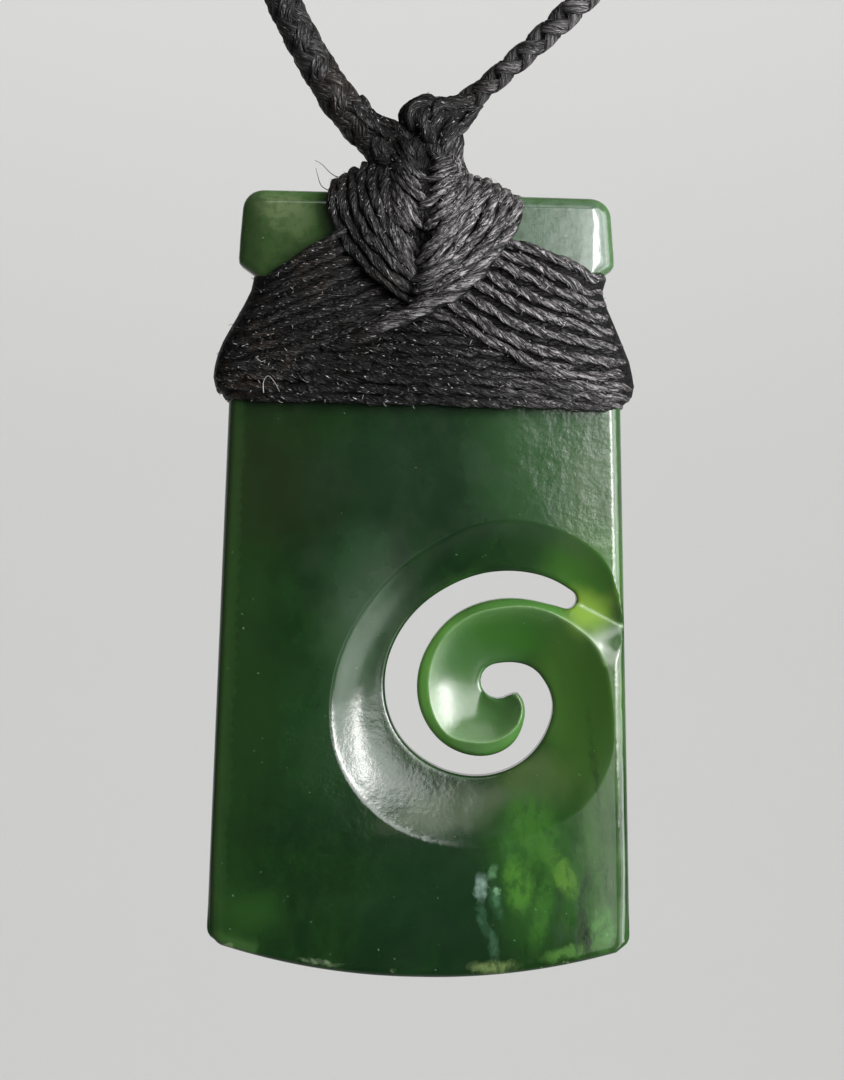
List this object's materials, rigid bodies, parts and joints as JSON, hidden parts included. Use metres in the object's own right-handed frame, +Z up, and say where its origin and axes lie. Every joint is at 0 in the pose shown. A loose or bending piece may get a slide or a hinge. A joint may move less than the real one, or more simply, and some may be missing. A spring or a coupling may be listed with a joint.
{
  "type": "toki pendant necklace",
  "caption": "Green nephrite adze-blade pendant with a pierced koru spiral, lashed at its notched head with waxed cord to a plaited neck cord that closes at the nape",
  "frame": {"origin": "the point at the nape of the neck where the neck cord hangs, on the middle of the closure", "axes": "+X to the right of the picture, -Y out of the front of the blade, +Z up"},
  "size_m": [0.1175, 0.1043, 0.1857],
  "materials": {
    "nephrite": "polished translucent green nephrite, paler and yellower at the lower right, with clouds and veins",
    "waxed_cord": "black twisted waxed cord with a dull waxy sheen and fine fuzz",
    "plaited_cord": "black plaited waxed cord with a dull waxy sheen"
  },
  "bodies": {
    "root": {"toki_blade": "nephrite", "waist_lashing": "waxed_cord", "head_wrap": "waxed_cord", "neck_knot": "waxed_cord", "neck_cord_left": "plaited_cord", "neck_cord_right": "plaited_cord", "nape_closure": "waxed_cord"}
  },
  "joints": []
}
